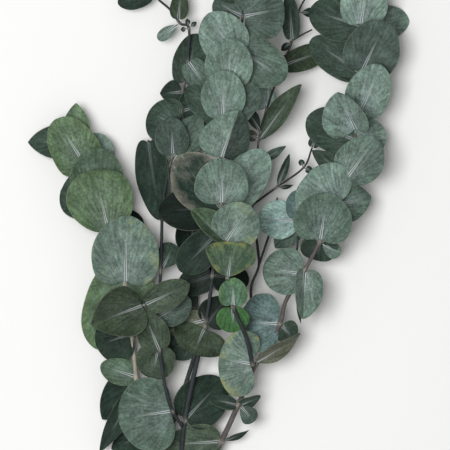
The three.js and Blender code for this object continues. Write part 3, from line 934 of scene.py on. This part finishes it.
@dataclass(frozen=True)
class LeafFinish:
    """A leaf's finish: the strength of its ribs, veins, mottles and specks, and of the painted shade in the
    midrib's groove.
    """

    name: str
    rib: float = 0.95
    vein: float = 0.22
    streak: float = 1.7
    patch: float = 1.2
    mottle: float = 1.4
    grain: float = 1.3
    specks: float = 0.5
    heart: float = 0.7
    rim: float = 0.7
    groove: float = 0.9
    edge: float = 0.35
    stalk: float = 0.5
    stalk_pale: float = 0.5
    spoiled: tuple[float, float] = (0.48, 0.62)
    vein_reach: float = 1.15
    vein_light: Colour = (2.1, 2.1, 2.2, 1.0)
    vein_rise: float = 0.35
    grain_rise: float = 0.5
    bump: float = 0.55
    bump_depth: float = 0.0003
    sheen: float = 0.1
    roughness: float = 0.44
    rough_spread: float = 0.25
    rib_colour: int = 0xCCD3D4
    # Near black: the dark specks, and the painted shade in the midrib's groove.
    speck_and_shade_colour: int = 0x18201D
    edge_colour: int = 0x7A8172
    yellow_colour: int = 0x9C9A55

    def surface(self, graph: Graph, effects: Effects, read: dict[str, Any]) -> tuple[Any, Any, Any]:
        """Paints the blade: its zones, its mottles, its veins and its ribs, with painted shade in the
        midrib's groove.

        Args:
            graph: the material's graph.
            effects: the shared node groups.
            read: the outputs of the nodes that read the mesh's attributes.

        Returns:
            The colour, the roughness and the height for the bump.
        """
        trait = graph.put("ShaderNodeSeparateColor", {0: read["trait"]["Color"]}).outputs
        place = graph.parts(read["place"]["Vector"])
        flat = read["flat"]["Vector"]
        offset = graph.parts(flat)[1]
        zones = graph.group(effects.zones, Along=place[0], Across=place[1], Flat=flat).outputs
        mottle = graph.group(effects.mottle, Flat=flat).outputs
        ribs = graph.group(effects.ribs, Along=place[0], Offset=offset).outputs
        fan = graph.group(effects.fan, Flat=flat).outputs
        specks = graph.group(effects.specks, Flat=flat).outputs["Specks"]
        # The margin's colour: partly the leaf's own and partly painted shade where the curved margin turns
        # from the light.
        rim = graph.times(zones["Rim"], self.rim)
        colour = graph.mix(rim, read["body"]["Color"], read["rim"]["Color"])
        heart = graph.times(zones["Heart"], self.heart)
        colour = graph.mix(heart, colour, read["heart"]["Color"])
        patches = graph.swing(mottle["Patches"], self.patch)
        light = graph.times(patches, graph.swing(mottle["Mottles"], self.mottle))
        light = graph.times(light, graph.swing(mottle["Grain"], self.grain))
        light = graph.times(light, graph.swing(fan["Streaks"], self.streak))
        colour = graph.mix(1.0, colour, light, "MULTIPLY")
        spoiled = graph.times(trait[2], graph.ramp(mottle["Patches"], *self.spoiled))
        spoiled = graph.times(spoiled, zones["Rim"])
        colour = graph.mix(spoiled, colour, linear(self.yellow_colour))
        seen = graph.times(read["trait"]["Alpha"], graph.rest(trait[0]))
        near = graph.math("SUBTRACT", self.vein_reach, place[0], clamp=True)
        vein = graph.times(graph.times(fan["Veins"], seen), near)
        paler = graph.mix(1.0, colour, self.vein_light, "MULTIPLY")
        colour = graph.mix(graph.times(vein, self.vein), colour, paler)
        pale = graph.times(graph.times(ribs["Pale"], seen), self.rib)
        colour = graph.mix(pale, colour, linear(self.rib_colour))
        # Painted shade: the midrib's groove darkened towards near black.
        groove = graph.times(graph.times(ribs["Groove"], seen), self.groove)
        colour = graph.mix(groove, colour, linear(self.speck_and_shade_colour))
        spots = graph.times(specks, self.specks)
        colour = graph.mix(spots, colour, linear(self.speck_and_shade_colour))
        edge = graph.times(zones["Edge"], self.edge)
        colour = graph.mix(edge, colour, linear(self.edge_colour))
        stalk = graph.mix(self.stalk_pale, read["heart"]["Color"], linear(self.rib_colour))
        colour = graph.mix(graph.times(trait[1], self.stalk), colour, stalk)
        rough = graph.plus(graph.times(mottle["Mottles"], self.rough_spread), self.roughness)
        height = graph.plus(ribs["Height"], graph.times(fan["Veins"], self.vein_rise))
        height = graph.plus(height, mottle["Mottles"])
        height = graph.plus(height, graph.times(mottle["Grain"], self.grain_rise))
        return colour, rough, height

    def material(self, effects: Effects) -> bpy.types.Material:
        """Writes the finish as a material.

        Args:
            effects: the shared node groups.

        Returns:
            The material.
        """
        material, graph, shader = new_material(self.name)
        read = {name: graph.attribute(name) for name in Paint.COLOURS + Paint.VECTORS}
        colour, rough, height = self.surface(graph, effects, read)
        graph.link(colour, shader.inputs["Base Color"])
        graph.link(rough, shader.inputs["Roughness"])
        shape = {"Strength": self.bump, "Distance": self.bump_depth, "Height": height}
        bump = graph.put("ShaderNodeBump", shape)
        graph.link(bump.outputs[0], shader.inputs["Normal"])
        shader.inputs["Specular IOR Level"].default_value = self.sheen
        return material


@dataclass(frozen=True)
class BarkFinish:
    """A stem's finish: streaked bark, paler at the nodes."""

    name: str
    node_colour: int = 0xA9A597
    node_share: float = 0.6
    node_edge: tuple[float, float] = (0.3, 0.6)
    streak: float = 0.8
    bump: float = 0.7
    bump_depth: float = 0.0003
    sheen: float = 0.3
    roughness: float = 0.5
    rough_spread: float = 0.25

    def material(self, effects: Effects) -> bpy.types.Material:
        """Writes the finish as a material.

        Args:
            effects: the shared node groups.

        Returns:
            The material.
        """
        material, graph, shader = new_material(self.name)
        body = graph.attribute("body")["Color"]
        place = graph.attribute("place")["Vector"]
        flat = graph.attribute("flat")["Vector"]
        node = graph.parts(place)[2]
        grain = graph.group(effects.grain, Place=flat).outputs
        light = graph.swing(grain["Streaks"], 2 * self.streak)
        colour = graph.mix(1.0, body, light, "MULTIPLY")
        broken = graph.times(node, graph.ramp(grain["Streaks"], *self.node_edge))
        colour = graph.mix(graph.times(broken, self.node_share), colour, linear(self.node_colour))
        graph.link(colour, shader.inputs["Base Color"])
        rough = graph.plus(graph.times(grain["Streaks"], self.rough_spread), self.roughness)
        graph.link(rough, shader.inputs["Roughness"])
        shape = {"Strength": self.bump, "Distance": self.bump_depth, "Height": grain["Height"]}
        bump = graph.put("ShaderNodeBump", shape)
        graph.link(bump.outputs[0], shader.inputs["Normal"])
        shader.inputs["Specular IOR Level"].default_value = self.sheen
        return material


@dataclass
class Studio:
    """The plain pale floor, the soft lights and the camera."""

    camera_height: float = 3.5
    sensor: float = 36.0
    floor_side: float = 6.0
    floor_colour: int = 0xF8F8F6
    floor_roughness: float = 0.9
    sky: float = 0.34
    key_power: float = 42.0
    key_side: float = 1.2
    key_place: tuple[float, float, float] = (-0.65, 0.1, 2.25)

    def floor(self) -> None:
        """Lays the floor that the branch lies on."""
        bm = bmesh.new()
        bmesh.ops.create_grid(bm, x_segments=1, y_segments=1, size=self.floor_side / 2)
        mesh = bpy.data.meshes.new("floor")
        bm.to_mesh(mesh)
        bm.free()
        material, _, shader = new_material("pale_floor")
        shader.inputs["Base Color"].default_value = linear(self.floor_colour)
        shader.inputs["Roughness"].default_value = self.floor_roughness
        mesh.materials.append(material)
        floor = bpy.data.objects.new("floor", mesh)
        bpy.context.scene.collection.objects.link(floor)

    def lights(self) -> None:
        """Hangs one large soft light over the left and an even pale sky."""
        world = bpy.data.worlds.new("studio")
        world.use_nodes = True
        back = world.node_tree.nodes["Background"]
        back.inputs["Color"].default_value = (1.0, 1.0, 1.0, 1.0)
        back.inputs["Strength"].default_value = self.sky
        bpy.context.scene.world = world
        lamp = bpy.data.lights.new("key", "AREA")
        lamp.shape = "SQUARE"
        lamp.size = self.key_side
        lamp.energy = self.key_power
        key = bpy.data.objects.new("key", lamp)
        key.location = self.key_place
        key.rotation_euler = (-Vector(self.key_place)).to_track_quat("-Z", "Y").to_euler()
        bpy.context.scene.collection.objects.link(key)

    def camera(self) -> None:
        """Sets a long lens straight above the middle of the view."""
        data = bpy.data.cameras.new("camera")
        data.sensor_width = self.sensor
        distance = self.camera_height - VIEW_HEIGHT * MM
        data.lens = self.sensor * distance / (VIEW_SIDE * MM)
        data.clip_end = 2 * self.camera_height
        camera = bpy.data.objects.new("camera", data)
        middle = (Vector((VIEW_SIDE / 2, VIEW_SIDE / 2, 0.0)) - MIDDLE) * MM
        camera.location = (middle.x, middle.y, self.camera_height)
        bpy.context.scene.collection.objects.link(camera)
        bpy.context.scene.camera = camera
        bpy.context.scene.view_settings.view_transform = "Standard"

    def build(self) -> None:
        """Builds the whole studio."""
        self.floor()
        self.lights()
        self.camera()


def woody_stem() -> Shoot:
    """The cut foot, its fork and the bare limbs, with the few leaves that sit on them."""
    stems = {
        "foot": Stem(3.7, 3.2, ((157, -88, 3), (156, -66, 3), FORK), Bark.GREY_BROWN),
        "right": Stem(
            2.6, 1.9, (FORK, (164, -20, 9), (177, 6, 13), (189, 32, 20), (203, 65, 27)), Bark.GREY_BROWN
        ),
        "middle": Stem(
            2.5, 1.9, (FORK, (146, -16, 10), (146, 10, 14), (151, 41, 17), (159, 77, 20)), Bark.DARK
        ),
        "behind": Stem(
            2.2, 1.7, (FORK, (136, -20, 7), (133, 4, 9), (143, 35, 10), (154, 70, 11)), Bark.DARK
        ),
        "left": Stem(2.1, 1.8, (FORK, (130, -16, 6), (120, 14, 8), (110, 42, 12)), Bark.CREAM),
    }
    leaves = [
        Leaf(2.45, 47, -6, 0, 45, 40, ROUND, Tone.DARK, "middle"),
        Leaf(2, 183, 4, 0, 50, 30, EGG, Tone.OLIVE, "right"),
        Leaf(2, 18, 0, 55, 24, 8, LANCE, Tone.DARK, "right"),
        Leaf(3.1, 164, 6, 45, 24, 15, ROUND, Tone.FOREST, "right"),
        Leaf(3.1, 22, 8, 50, 20, 15, EGG, Tone.FOREST, "right"),
        Leaf(3.15, 312, 0, 10, 19, 15, SPOON, Tone.DUSK, "right"),
        Leaf(2, 205, -7, 0, 36, 24, EGG, Tone.DARK, "left"),
    ]
    return Shoot("woody_stem", "bark", stems, leaves)


def left_shoot() -> Shoot:
    """The pale stem at the left with its green leaves."""
    stems = {
        "main": Stem(
            1.8,
            0.8,
            (
                (109.6, 43.1, 12.1), (108.5, 58, 15), (105, 93, 17), (102, 118, 18), (100, 133, 18),
                (87, 173, 17), (78, 200, 15), (64, 235, 14), (56, 258, 13),
            ),
            Bark.CREAM,
        ),
    }
    leaves = [
        Leaf(7.4, 90, 4, 0, 33, 22, EGG, Tone.GREEN),
        Leaf(7.5, 181, -6, 0, 39, 28, EGG, Tone.FOREST),
        Leaf(6.9, 122, 20, 0, 40, 40, HEART, Tone.GREEN),
        Leaf(6.6, 70, -3, 0, 34, 34, ROUND, Tone.BRIGHT),
        Leaf(6, 92, 18, 0, 43, 44, ROUND, Tone.LEAFY),
        Leaf(6, 166, -23, 0, 35, 40, ROUND, Tone.FOREST),
        Leaf(5.9, 15, -12, 0, 25, 28, ROUND, Tone.BLACK),
        Leaf(5, 103, 18, 0, 54, 53, FAN, Tone.GREEN),
        Leaf(5, 22, -8, 0, 30, 30, ROUND, Tone.BLACK),
        Leaf(4, 89, 16, 0, 56, 54, ROUND, Tone.PALE, yellow=0.3),
        Leaf(4, 247, -8, 0, 59, 54, HEART, Tone.GREEN),
        Leaf(2, 200, -10, 0, 31, 38, ROUND, Tone.DARK),
        Leaf(1, 162, 5, 0, 30, 22, ROUND, Tone.LEAFY),
        Leaf(0.9, 229, -9, 0, 44, 33, EGG, Tone.DARK),
        Leaf(0.5, 240, 4, 0, 60, 18, EGG, Tone.DARK),
    ]
    return Shoot("left_shoot", "green_leaves", stems, leaves)


def back_left_shoot() -> Shoot:
    """The thin dark stem behind, its dark leaves and the bare twig at the top left."""
    stems = {
        "main": Stem(
            1.5,
            0.9,
            (
                (145, 19.5, 17.5), (138, 31, 25), (133, 47, 31), (128, 77, 35), (126, 102, 34),
                (128, 134, 26), (129, 164, 20), (130, 194, 17), (134, 220, 17), (142, 252, 16),
                (146, 284, 16), (150, 312, 16), (151, 338, 15), (144, 342, 15), (136, 353, 14),
                (128, 360, 13), (120, 368, 12),
            ),
            Bark.DARK,
        ),
        "over": Stem(1, 0.8, ((126, 102, 34), (120, 110, 40), (115, 117, 44)), Bark.GREY_BROWN),
        "under": Stem(0.9, 0.8, ((134, 220, 17), (124, 241, 14), (118, 248, 13)), Bark.DARK),
    }
    leaves = [
        Leaf(1, 188, 6, 0, 44, 60, ROUND, Tone.GREY),
        Leaf(3.3, 259, -20, 0, 31, 32, ROUND, Tone.OLIVE),
        Leaf(3.1, 112, 22, 0, 35, 26, ROUND, Tone.OLIVE),
        Leaf(2, 200, 8, 12, 45, 42, EGG, Tone.SHADE, "over", shade=0.2),
        Leaf(2, 24, 2, 10, 40, 24, Form.RIPPLED, Tone.OLIVE, "over"),
        Leaf(4.15, 28, 0, 0, 30, 26, ROUND, Tone.DUSK),
        Leaf(5.3, 62, -19, 0, 26, 20, SPOON, Tone.FOREST),
        Leaf(2, 277, -2, 25, 64, 29, ROUND, Tone.DARK, "under", rib=0.4),
        Leaf(9.2, 152, -6, 0, 28, 38, ROUND, Tone.FOREST),
        Leaf(8.5, 92, 18, 0, 32, 27, ROUND, Tone.DUSK),
        Leaf(8.3, 58, 2, 0, 48, 30, EGG, Tone.GREY),
        Leaf(9.6, 15, -4, 0, 34, 34, ROUND, Tone.DARK),
        Leaf(10.3, 76, -4, 0, 43, 28, ROUND, Tone.FOREST),
        Leaf(10.1, 184, -5, 0, 19, 20, EGG, Tone.DARK),
        Leaf(11, 305, 18, 0, 29, 20, ROUND, Tone.GREY),
        Leaf(12, 100, 10, 0, 8, 4, LANCE, Tone.DARK),
        Leaf(12, 40, 10, 0, 8, 4, LANCE, Tone.DARK),
        Leaf(12, 190, -10, 0, 7, 4, LANCE, Tone.DARK),
        Leaf(13.2, 86, 5, 0, 28, 15, EGG, Tone.SHADE),
        Leaf(13.05, 217, 0, 0, 22, 10, SPOON, Tone.PALE),
        Leaf(15.8, 196, 0, 0, 29, 18, ROUND, Tone.DARK),
        Leaf(15.8, 60, 0, 0, 22, 15, EGG, Tone.DARK),
        Leaf(16, 140, 5, 0, 20, 12, EGG, Tone.DARK),
    ]
    return Shoot("back_left_shoot", "dark_leaves", stems, leaves)


def middle_shoot() -> Shoot:
    """The thick dark limb in the middle with its olive and dark leaves."""
    stems = {
        "main": Stem(
            1.8,
            1,
            ((159.1, 77.4, 20.1), (165, 104, 24), (170, 140, 27), (171, 168, 27), (170, 196, 26)),
            Bark.DARK,
        ),
    }
    leaves = [
        Leaf(0.8, 246, 14, 0, 24, 46, ROUND, Tone.SHADE),
        Leaf(1, 194, 4, 0, 36, 22, EGG, Tone.BROWN),
        Leaf(0.85, 52, -5, 0, 30, 28, EGG, Tone.VIOLET, rib=0.4),
        Leaf(3.1, 226, -3, 0, 39, 30, ROUND, Tone.DARK, rib=0.6),
        Leaf(2, 200, -13, 0, 30, 24, ROUND, Tone.VIOLET, rib=0.3),
        Leaf(2, 350, -5, 0, 30, 26, ROUND, Tone.BLACK, rib=0.3),
        Leaf(3.9, 182, 2, 0, 43, 34, ROUND, Tone.BLACK, rib=0.4),
        Leaf(4, 5, -4, 0, 26, 28, ROUND, Tone.BLACK),
        Leaf(4, 120, 6, 0, 35, 30, ROUND, Tone.BLACK),
    ]
    return Shoot("middle_shoot", "olive_leaves", stems, leaves)


def middle_twig() -> Shoot:
    """The second dark limb with a few dark leaves low down."""
    stems = {
        "main": Stem(
            1.6,
            0.9,
            ((154.2, 70.4, 11), (158, 90, 11), (157, 112, 11), (157, 140, 12), (153, 160, 12)),
            Bark.DARK,
        ),
    }
    leaves = [
        Leaf(1, 205, -3, 0, 28, 28, ROUND, Tone.FOREST),
        Leaf(2, 165, -4, 0, 30, 26, ROUND, Tone.FOREST),
        Leaf(3, 30, -3, 0, 28, 26, ROUND, Tone.BLACK),
        Leaf(4, 89, 0, 0, 33, 28, ROUND, Tone.BLACK),
    ]
    return Shoot("middle_twig", "black_green_leaves", stems, leaves)


def front_shoot() -> Shoot:
    """The pale leaves in the middle, one above the other."""
    stems = {
        "main": Stem(
            1.7,
            0.9,
            (
                (202, 68, 31.5), (197, 90, 44), (186, 116, 50), (182, 139, 52), (180, 166, 52),
                (177, 196, 52), (177, 232, 51), (178, 265, 50), (182, 290, 48), (190, 320, 46),
                (194, 346, 44), (194, 366, 42), (195, 384, 40),
            ),
            Bark.DARK,
        ),
    }
    leaves = [
        Leaf(0.05, 172, 6, -9, 27, 54, HEART, Tone.PALE, yellow=0.5),
        Leaf(0.05, 27, 2, 50, 45, 20, LANCE, Tone.BROWN),
        Leaf(2, 272, -20, 0, 24, 26, ROUND, Tone.VIVID),
        Leaf(1.95, 90, 20, 0, 24, 23, ROUND, Tone.FRESH),
        Leaf(2.95, 82, 25, 0, 31, 40, SHELL, Tone.MOSS, yellow=0.6),
        Leaf(4.1, 140, 15, 0, 36, 27, Form.LEFT_UP, Tone.MOSS),
        Leaf(4, 56, 22, 0, 38, 38, ROUND, Tone.PALE, yellow=0.4),
        Leaf(5, 88, 20, 0, 38, 44, ROUND, Tone.PALE),
        Leaf(4.9, 130, -6, 0, 55, 44, Form.CUPPED, Tone.SHADED_HOLLOW),
        Leaf(4.95, 50, -11, 10, 59, 36, ROUND, Tone.BRIGHT),
        Leaf(6, 72, 20, -12, 42, 46, Form.RIGHT_DOWN, Tone.PALE, shade=0.6),
        Leaf(7, 88, 20, 0, 39, 36, ROUND, Tone.PALE),
        Leaf(7, 140, 4, 0, 38, 24, ROUND, Tone.FOREST),
        Leaf(7, 42, 2, 0, 38, 30, ROUND, Tone.DUSK),
        Leaf(8, 86, 20, 0, 40, 38, ROUND, Tone.PALE),
        Leaf(8.8, 124, 14, 0, 41, 38, ROUND, Tone.BRIGHT),
        Leaf(9, 328, 2, 0, 45, 38, ROUND, Tone.GREY),
        Leaf(10, 12, 10, 0, 34, 46, ROUND, Tone.DUSK),
        Leaf(10, 152, -8, 0, 27, 24, ROUND, Tone.DUSK),
        Leaf(11, 172, 6, 0, 24, 22, ROUND, Tone.FOREST),
        Leaf(11, 88, 18, 0, 28, 27, ROUND, Tone.GREY),
        Leaf(12, 118, 10, 0, 20, 14, EGG, Tone.PALE),
        Leaf(12, 58, 10, 0, 18, 13, EGG, Tone.PALE),
    ]
    return Shoot("front_shoot", "pale_leaves", stems, leaves)


def inner_twig() -> Shoot:
    """The thin bare twigs with narrow leaves between the front and the right shoot."""
    stems = {
        "main": Stem(
            1.2,
            0.7,
            (
                (213.8, 88.8, 28), (203, 112, 20), (201, 130, 20), (207, 147, 20), (206, 163, 20),
                (202, 196, 20), (205, 224, 20), (207, 247, 20), (213, 272, 19), (226, 308, 17),
                (234, 328, 16), (239, 351, 12), (246, 365, 10),
            ),
            Bark.TWIG,
        ),
        "right": Stem(
            0.9, 0.7, ((202, 196, 20), (221, 210, 18), (243, 226, 14), (250, 242, 12)), Bark.TWIG
        ),
        "stub": Stem(0.9, 0.7, ((207, 147, 20), (215, 171, 16), (221, 188, 12), (222, 202, 10)), Bark.TWIG),
        "spur": Stem(0.8, 0.6, ((234, 328, 16), (242, 333, 14), (250, 337, 12)), Bark.TWIG),
    }
    leaves = [
        Leaf(6.95, 56, 6, -35, 58, 21, LANCE, Tone.OLIVE),
        Leaf(8, 100, 8, 30, 20, 22, ROUND, Tone.BRIGHT),
        Leaf(7.3, 118, 4, 30, 28, 12, LANCE, Tone.FOREST),
        Leaf(7.1, 160, 2, 0, 13, 9, Form.RIPPLED, Tone.BROWN),
        Leaf(6.25, 28, 0, 20, 27, 8, LANCE, Tone.GREY),
        Leaf(1, 66, 4, 30, 29, 8, LANCE, Tone.FOREST, "right"),
        Leaf(1, 6, 0, 50, 14, 5, LANCE, Tone.DARK, "right"),
        Leaf(2, 340, 5, 0, 8, 6, ROUND, Tone.DARK, "right"),
        Leaf(2, 110, 5, 0, 7, 5, ROUND, Tone.DARK, "right"),
        Leaf(3, 70, 0, 0, 14, 9, EGG, Tone.FOREST, "right"),
        Leaf(9, 20, -14, 0, 42, 20, ROUND, Tone.SHADE),
        Leaf(10, 94, 10, 0, 42, 15, EGG, Tone.FOREST),
        Leaf(10, 222, 0, 0, 12, 6, LANCE, Tone.VIOLET),
        Leaf(11, 0, -14, 0, 15, 8, SPOON, Tone.DARK),
        Leaf(12, 60, 5, 0, 18, 10, EGG, Tone.FOREST),
        Leaf(12, 130, 5, 0, 16, 9, EGG, Tone.FOREST),
    ]
    return Shoot("inner_twig", "twig_leaves", stems, leaves)


def right_shoot() -> Shoot:
    """The long curved shoot at the right."""
    stems = {
        "main": Stem(
            1.9,
            0.9,
            (
                (203.3, 65.5, 27.1), (215, 86, 29), (224, 101, 31), (229, 120, 31), (242, 141, 32),
                (256, 167, 32), (269, 196, 30), (278, 220, 27), (284, 248, 24), (288, 272, 21),
                (289, 302, 18), (289, 340, 16), (290, 364, 15), (290, 382, 14),
            ),
            Bark.GREY_BROWN,
        ),
        "side": Stem(1, 0.8, ((242, 141, 32), (236, 146, 31), (238, 164, 29), (238, 186, 27)), Bark.DARK),
    }
    leaves = [
        Leaf(2, 177, -2, 0, 32, 48, ROUND, Tone.SLATE),
        Leaf(2, 312, -10, 0, 19, 20, EGG, Tone.FOREST),
        Leaf(4, 172, 4, 0, 32, 38, ROUND, Tone.PALE),
        Leaf(4.12, 268, 8, 0, 39, 31, Form.RIGHT_UP, Tone.PALE),
        Leaf(4, 262, -6, 60, 40, 9, LANCE, Tone.DARK),
        Leaf(1, 112, 8, 0, 18, 9, LANCE, Tone.GREY, "side"),
        Leaf(3, 178, 2, 0, 32, 31, ROUND, Tone.BLUE, "side"),
        Leaf(3, 92, 10, 0, 24, 18, ROUND, Tone.SLATE, "side"),
        Leaf(2.9, 232, -15, 0, 30, 22, EGG, Tone.GREY, "side"),
        Leaf(5, 262, -38, 0, 21, 30, HEART, Tone.FOREST),
        Leaf(5, 325, -12, 0, 20, 13, SPOON, Tone.PALE),
        Leaf(5, 82, 20, 0, 41, 47, ROUND, Tone.GREY),
        Leaf(6, 128, 22, 0, 34, 50, DOMED, Tone.BRIGHT),
        Leaf(6, 14, -11, 0, 30, 32, EGG, Tone.GREY),
        Leaf(6.9, 53, 18, 0, 41, 37, ROUND, Tone.PALE, shade=0.25),
        Leaf(7, 145, -6, 0, 35, 17, EGG, Tone.FOREST),
        Leaf(8, 155, -8, 0, 43, 36, ROUND, Tone.FOREST),
        Leaf(8.3, 116, 18, 0, 36, 46, Form.RIGHT_UP, Tone.BRIGHT),
        Leaf(8, 12, -6, 0, 26, 30, ROUND, Tone.BRIGHT),
        Leaf(8.9, 66, 18, 0, 43, 36, ROUND, Tone.BRIGHT),
        Leaf(10, 146, -6, 0, 49, 30, ROUND, Tone.FOREST),
        Leaf(9.8, 155, -11, 45, 24, 16, EGG, Tone.FOREST),
        Leaf(10, 64, 18, 0, 47, 44, ROUND, Tone.DUSK),
        Leaf(11, 8, -17, 0, 43, 28, ROUND, Tone.PALE),
        Leaf(11, 82, 18, 0, 39, 38, ROUND, Tone.BRIGHT),
        Leaf(11, 163, 0, 0, 43, 36, ROUND, Tone.FOREST),
        Leaf(12, 70, 18, 0, 34, 33, ROUND, Tone.GREY),
        Leaf(12, 165, 5, 0, 26, 24, ROUND, Tone.GREY),
        Leaf(13, 100, 10, 0, 22, 16, EGG, Tone.PALE),
        Leaf(13, 40, 12, 0, 20, 14, EGG, Tone.PALE),
    ]
    return Shoot("right_shoot", "grey_leaves", stems, leaves)


def branch() -> list[Shoot]:
    """Lists the shoots of the branch in the order in which they take their draws."""
    makers = (
        woody_stem, left_shoot, back_left_shoot, middle_shoot,
        middle_twig, front_shoot, inner_twig, right_shoot,
    )
    return [make() for make in makers]


def main() -> None:
    """Builds the branch and the studio in order."""
    logging.basicConfig(level=logging.INFO, format="%(name)s: %(message)s")
    effects = Effects()
    draws = Draws(SEED)
    for shoot in branch():
        blade = LeafFinish(shoot.name + "_blade").material(effects)
        bark = BarkFinish(shoot.name + "_bark").material(effects)
        shoot.build(draws, blade, bark)
    Studio().build()


if __name__ == "__main__":
    main()
